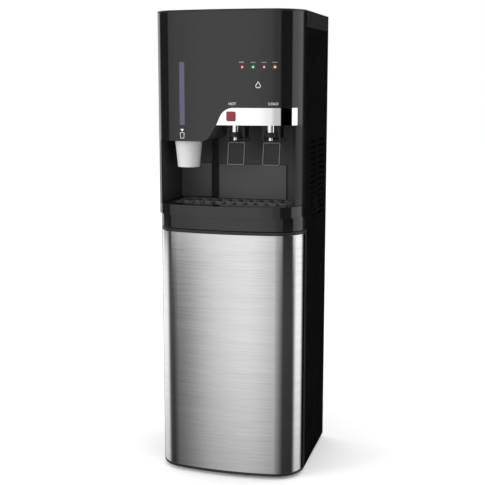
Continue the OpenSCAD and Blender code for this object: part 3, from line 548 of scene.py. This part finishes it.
def leverRim(name, x, body):
    # round bead carried round the edge of the push plate, leaned about the lever's pivot; its light grey
    # paints the highlight along that edge
    outline = roundedPath(lever["halfWidth"], lever["halfHeight"], lever["corner"])
    ahead = np.roll(outline, -1, 0) - np.roll(outline, 1, 0)
    ahead /= np.linalg.norm(ahead, axis=1)[:, None]
    outward = np.stack([ahead[:, 1], -ahead[:, 0]], -1)
    turn = np.linspace(0, 2 * pi, 12, endpoint=False)
    flat = outline[:, None] + lever["wire"] * np.cos(turn)[None, :, None] * outward[:, None]
    wireDepth = -2 * mm + lever["wire"] - lever["proud"] + lever["wire"] * np.sin(turn)
    depth = np.broadcast_to(wireDepth, flat.shape[:2])
    along = flat[..., 1] - lever["drop"] - 25.5 * mm
    lean = radians(lever["lean"])
    y = lever["pivot"][0] + depth * cos(lean) + along * sin(lean)
    z = lever["pivot"][1] - depth * sin(lean) + along * cos(lean)
    points = np.stack([x + flat[..., 0], y, z], -1).reshape(-1, 3)
    bead = smooth(meshFrom(points, gridFaces(len(outline), 12, True, True), name), 60)
    place(bead, body, "lever_grey", finishes["rimGrey"])


leverRim("hotLeverRim", 22 * mm, "hot_lever")
leverRim("coldLeverRim", 101 * mm, "cold_lever")
print("lamps and lever rims made")

ink = {"lift": 0.09 * mm, "thick": 0.05 * mm}


def printed(name, points, faces, colour):
    # flat marks drawn in x and z, laid on the front and given the thickness of a print
    points = np.asarray(points, float)
    front = np.stack([points[:, 0], skinY(points[:, 0]) - ink["lift"], points[:, 1]], -1)
    mark = meshFrom(front, faces, name)
    bm = bmesh.new()
    bm.from_mesh(mark.data)
    bmesh.ops.recalc_face_normals(bm, faces=bm.faces)
    for face in bm.faces:
        if face.normal.y > 0:
            face.normal_flip()
    bm.to_mesh(mark.data)
    bm.free()
    solid = mark.modifiers.new("thickness", "SOLIDIFY")
    solid.thickness = ink["thick"]
    solid.offset = -1
    place(mark, "cabinet", "gloss_black", finishes[colour])


def band(outline, width):
    # a closed line of the given width: the outline and its copy set inwards, joined by quads
    outline = np.asarray(outline, float)
    ahead = np.roll(outline, -1, 0) - np.roll(outline, 1, 0)
    ahead /= np.linalg.norm(ahead, axis=1)[:, None]
    inward = np.stack([-ahead[:, 1], ahead[:, 0]], -1)
    points = np.stack([outline, outline + inward * width], 1).reshape(-1, 2)
    return points, gridFaces(len(outline), 2, wrapRows=True)


def words(name, text, x, z, width):
    # letters of the built-in font, scaled to the width and set about their middle
    curve = bpy.data.curves.new(name, "FONT")
    curve.body = text
    letters = bpy.data.objects.new(name + "Curve", curve)
    bpy.context.scene.collection.objects.link(letters)
    bpy.context.view_layer.update()
    mesh = bpy.data.meshes.new_from_object(letters.evaluated_get(bpy.context.evaluated_depsgraph_get()))
    spots = np.array([v.co[:2] for v in mesh.vertices])
    faces = [list(p.vertices) for p in mesh.polygons]
    low, high = spots.min(0), spots.max(0)
    spots = (spots - (low + high) / 2) * width / (high[0] - low[0]) + [x, z]
    bpy.data.objects.remove(letters)
    printed(name, spots, faces, "ink")


def frontPrint():
    words("hotWord", "HOT", 23.5 * mm, 848.2 * mm, 16.4 * mm)
    words("coldWord", "COLD", 111 * mm, 848.4 * mm, 20.7 * mm)
    for i, across in enumerate(lamps["places"]):
        tall = 1.6 * mm if i else 2.6 * mm
        half = 5.2 * mm
        x = across * mm - (1.5 * mm if i == 0 else 0)
        line = np.linspace(-half, half, 9) + x
        low = np.stack([line, np.full(9, 934.2 * mm)], -1)
        bar = np.concatenate([low, low + [0, tall]])
        ring = arcPoints((across * mm, lamps["height"]), 4.8 * mm, 0, 360, 37)[:-1]
        printed(f"lampRing{i + 1}", *band(ring, 1.7 * mm), f"ring{i + 1}")
        printed(f"lampLabel{i + 1}", bar, gridFaces(2, 9), "labelInk")
    cupX = -92 * mm
    sides = np.array([(4.3, 772.6), (5.3, 785.4), (-5.3, 785.4), (-4.3, 772.6)]) * mm + [cupX, 0]
    fine = np.concatenate([np.linspace(sides[k], sides[(k + 1) % 4], 12, endpoint=False) for k in range(4)])
    printed("cupOutline", *band(fine, 0.9 * mm), "ink")
    arrow = np.array([(-4.2, 793), (4.2, 793), (0, 787.2)]) * mm + [cupX, 0]
    printed("cupArrow", arrow, [(0, 1, 2)], "ink")
    turn = np.linspace(0, 2 * pi, 48, endpoint=False)
    size = 7 * mm
    drop = np.stack([79 * mm + 1.15 * size * np.sin(turn) * np.sin(turn / 2) ** 1.6,
                     888.5 * mm + size * np.cos(turn)], -1)
    printed("dropletEmblem", *band(drop[::-1], 1.3 * mm), "ink")


frontPrint()
print("front print laid")

studio = {
    "floorHalf": 12.0, "soft": 1.12, "reflected": 1.15, "seen": 1.0, "floorGlow": 0.12,
    # height of the line between the two rows, as the z of a reflected ray, and the fade under it
    "edge": (-0.161, -0.157), "fade": (-0.42, -0.27), "fadeTo": (0.45, 1.0),
    # brightness round the room from the front towards the right, in degrees, above and below that line;
    # the rows and the line are fitted to the reflections in the front view only
    "high": [(-145, 0.0), (-140, 1.0), (-120, 1.0), (-117, 0.02), (-69, 0.02), (-66, 0.6), (-52, 0.68),
             (-34, 0.84), (-27, 1.0), (-4, 1.0), (0, 0.92), (4, 0.78), (16, 0.53), (36, 0.5), (38.5, 0.0),
             (79, 0.0), (82, 1.15), (125, 1.15), (140, 0.0)],
    "low": [(-145, 0.0), (-140, 1.1), (-98, 1.1), (-92, 0.9), (-87, 0.5), (-82, 0.2), (-76, 0.08),
            (-62, 0.05), (-57, 0.07), (-50, 0.11), (-38, 0.19), (-32, 0.37), (-27, 0.57), (-22, 0.74),
            (-16, 0.86), (-9, 0.95), (-4, 0.93), (1, 0.82), (6, 0.66), (14, 0.46), (26, 0.26), (40, 0.06),
            (84, 0.05), (99, 1.15), (125, 1.15), (140, 0.0)],
}


def makeFloor():
    paint = Paint("paleFloor")
    cloud = paint.noise(paint.spot(), 2, 3, 0.5)
    tint = paint.blend(cloud, (0.94, 0.94, 0.94, 1), (0.96, 0.96, 0.96, 1))
    material = paint.finish(Base_Color=tint, Roughness=0.7 + 0.1 * cloud, Specular_IOR_Level=0.1,
                            Emission_Color=(1, 1, 1, 1), Emission_Strength=studio["floorGlow"])
    half = studio["floorHalf"]
    corners = [(-half, -half, 0), (half, -half, 0), (half, half, 0), (-half, half, 0)]
    floor = meshFrom(corners, [(0, 1, 2, 3)], "floor")
    floor.data.materials.append(material)
    floor.visible_glossy = False


def makeWorld():
    # walls in two rows that only reflections see; plain white for bounced light and for the backdrop
    paint = Paint("studioWalls", world=True)
    way = paint.node("ShaderNodeTexCoord", out="Generated")
    split = paint.node("ShaderNodeSeparateXYZ", {}, {0: way}, out="X").socket.node
    x, y, z = (Wire(paint, split.outputs[k]) for k in range(3))
    around = paint.node("ShaderNodeMath", {"operation": "ARCTAN2"}, {0: x, 1: y * -1.0}) / (2 * pi) + 0.5
    rows = {}
    for row in ("high", "low"):
        stops = [((angle + 180) / 360, (v, v, v)) for angle, v in studio[row]]
        rows[row] = paint.node("ShaderNodeValToRGB", {"stops": stops}, {0: around})
    low, high = studio["edge"]
    level = paint.node("ShaderNodeMapRange", {}, {"Value": z, "From Min": low, "From Max": high})
    walls = paint.blend(level, rows["low"], rows["high"])
    start, end = studio["fade"]
    least, most = studio["fadeTo"]
    fall = {"Value": z, "From Min": start, "From Max": end, "To Min": least, "To Max": most}
    strength = studio["reflected"] * paint.node("ShaderNodeMapRange", {}, fall)
    lit = paint.node("ShaderNodeBackground", {}, {"Color": walls, "Strength": strength})
    seen = paint.node("ShaderNodeBackground", {}, {"Color": (1, 1, 1, 1), "Strength": studio["seen"]})
    soft = paint.node("ShaderNodeBackground", {}, {"Color": (1, 1, 1, 1), "Strength": studio["soft"]})
    path = paint.node("ShaderNodeLightPath", out="Is Camera Ray")
    diffuse = Wire(paint, path.socket.node.outputs["Is Diffuse Ray"])
    bounced = paint.node("ShaderNodeMixShader", {}, {0: diffuse, 1: lit, 2: soft})
    both = paint.node("ShaderNodeMixShader", {}, {0: path, 1: bounced, 2: seen})
    paint.node("ShaderNodeOutputWorld", {}, {"Surface": both}, out=None)
    bpy.context.scene.world = paint.data


keyLight = {"place": (-2.4, -2.2, 1.3), "turn": (80, 0, -47), "size": 1.0, "power": 35}


def softLight(name, where, turn, size, power):
    lamp = bpy.data.lights.new(name, "AREA")
    lamp.shape = "RECTANGLE"
    lamp.size = size
    lamp.size_y = size
    lamp.energy = power
    light = bpy.data.objects.new(name, lamp)
    light.location = where
    light.rotation_euler = [radians(a) for a in turn]
    light.visible_glossy = False
    bpy.context.scene.collection.objects.link(light)


view = {"place": (0.6032, -2.187, 0.9031), "turn": (80.423, 0, 15.407), "lens": 72.49, "sensor": 36}


def makeCamera():
    lens = bpy.data.cameras.new("camera")
    lens.lens = view["lens"]
    lens.sensor_width = view["sensor"]
    camera = bpy.data.objects.new("camera", lens)
    camera.location = view["place"]
    camera.rotation_euler = [radians(a) for a in view["turn"]]
    bpy.context.scene.collection.objects.link(camera)
    bpy.context.scene.camera = camera


makeFloor()
makeWorld()
softLight("keyLight", keyLight["place"], keyLight["turn"], keyLight["size"], keyLight["power"])
makeCamera()
bpy.context.scene.view_settings.view_transform = "Standard"
print("studio made")
